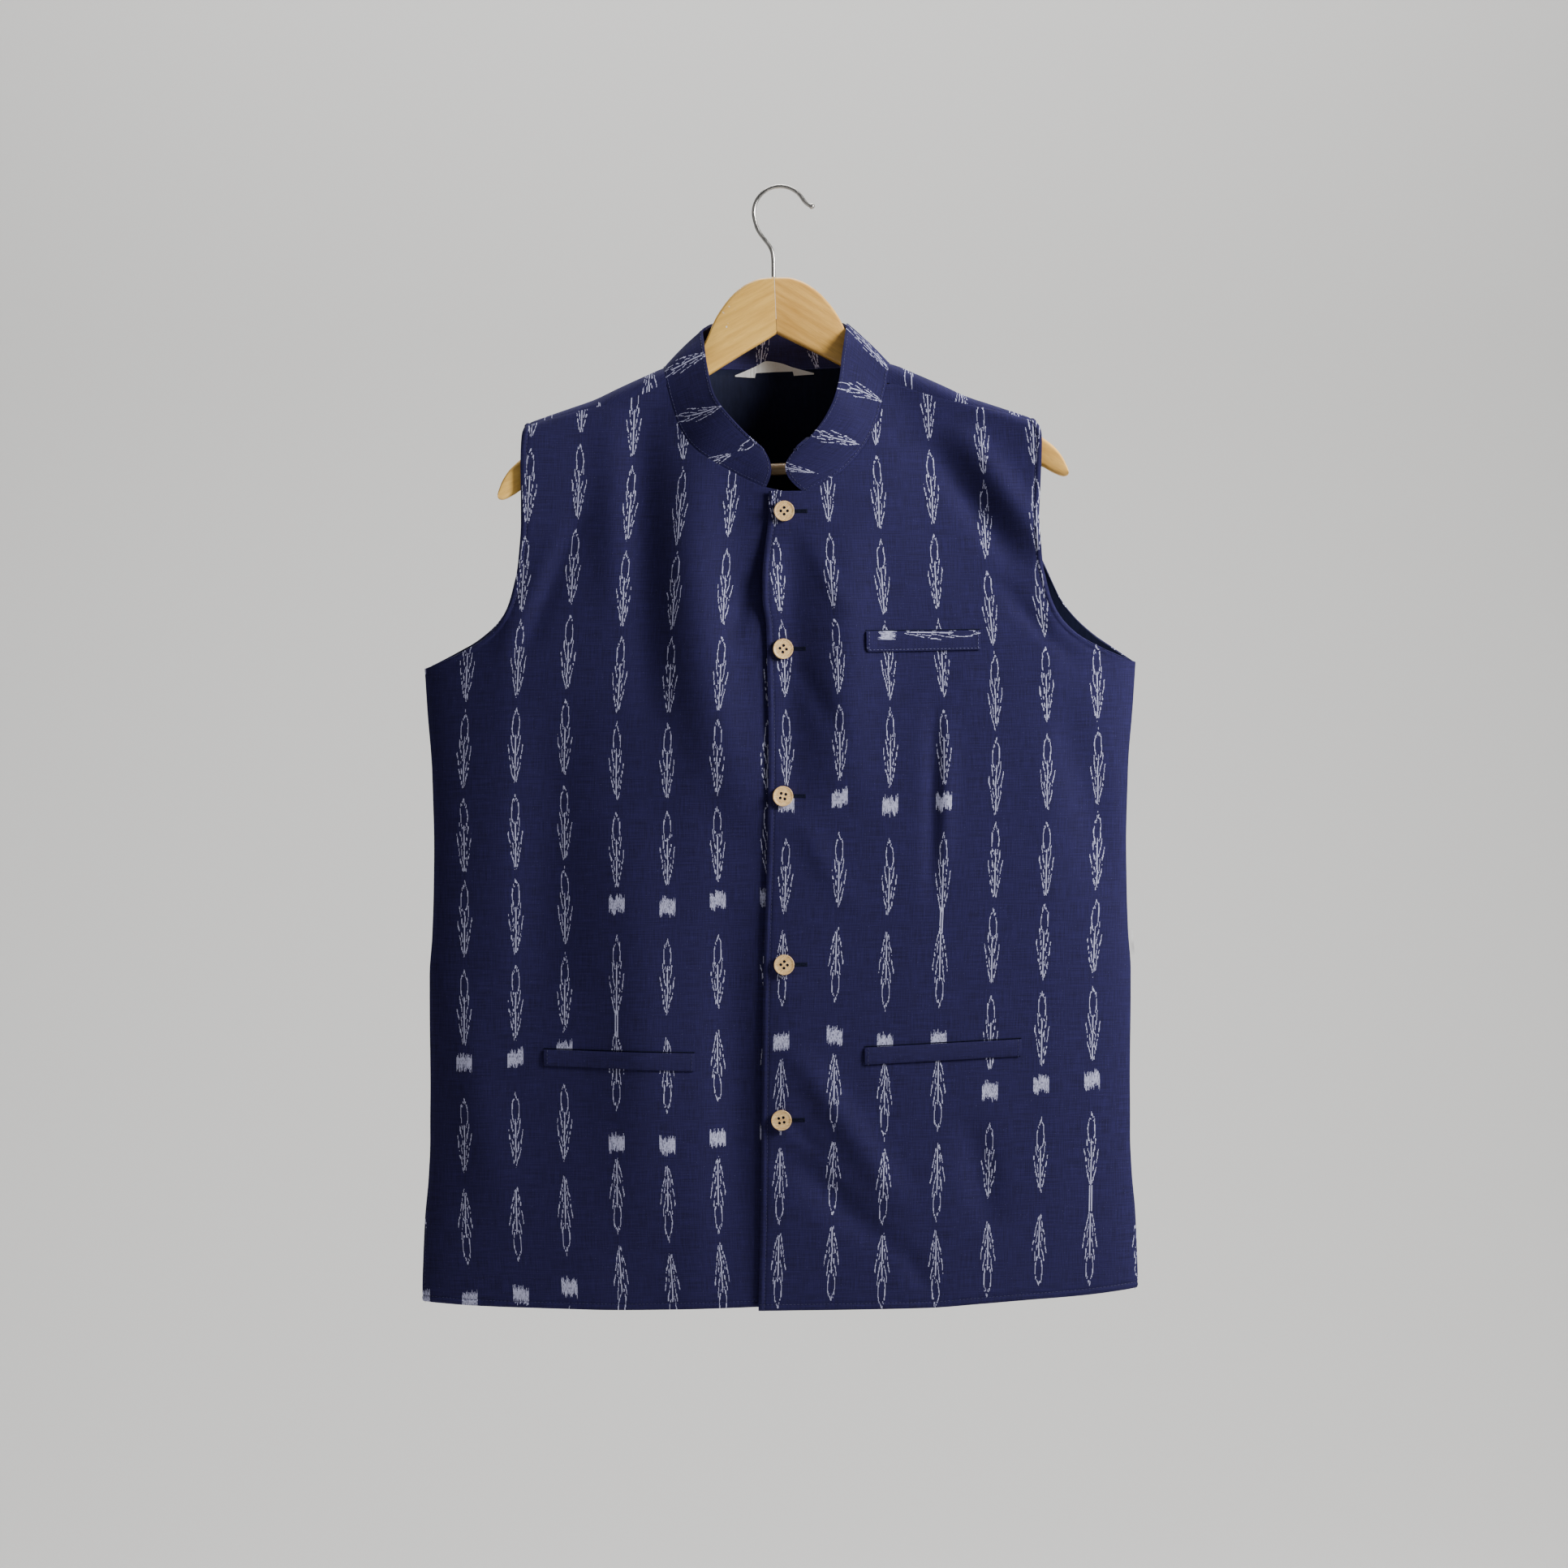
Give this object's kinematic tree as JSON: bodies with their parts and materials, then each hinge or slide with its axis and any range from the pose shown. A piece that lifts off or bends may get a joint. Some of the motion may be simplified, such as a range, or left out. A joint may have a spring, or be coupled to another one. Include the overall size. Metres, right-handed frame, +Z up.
{
  "type": "nehru jacket on hanger",
  "caption": "Sleeveless buttoned jacket with a stand collar and welt pockets, hanging on a wooden hanger with a wire hook.",
  "frame": {"origin": "the inner crest of the hanger's hook, where a rod or a rope would carry it", "axes": "+Z up, -Y the front of the jacket, towards the viewer, and +X the viewer's right, which is the wearer's left"},
  "size_m": [0.5553, 0.0823, 0.8711],
  "materials": {
    "ikat_cotton": "matt handwoven cotton with a feathered pale warp pattern on navy",
    "navy_lining": "smooth plain navy lining",
    "button_wood": "satin light wood",
    "hanger_wood": "varnished reddish brown wood",
    "hook_steel": "polished wire",
    "label_satin": "blank woven satin"
  },
  "bodies": {
    "root": {"front_left": "ikat_cotton", "front_right": "ikat_cotton", "back": "ikat_cotton", "back_lining": "navy_lining", "collar": "ikat_cotton", "chest_welt": "ikat_cotton", "hip_welt_left": "ikat_cotton", "hip_welt_right": "ikat_cotton", "button_1": "button_wood", "button_2": "button_wood", "button_3": "button_wood", "button_4": "button_wood", "button_5": "button_wood", "neck_label": "label_satin", "side_label": "label_satin", "hanger_left": "hanger_wood", "hanger_right": "hanger_wood", "hanger_bar": "hanger_wood", "hanger_hook": "hook_steel"}
  },
  "joints": []
}
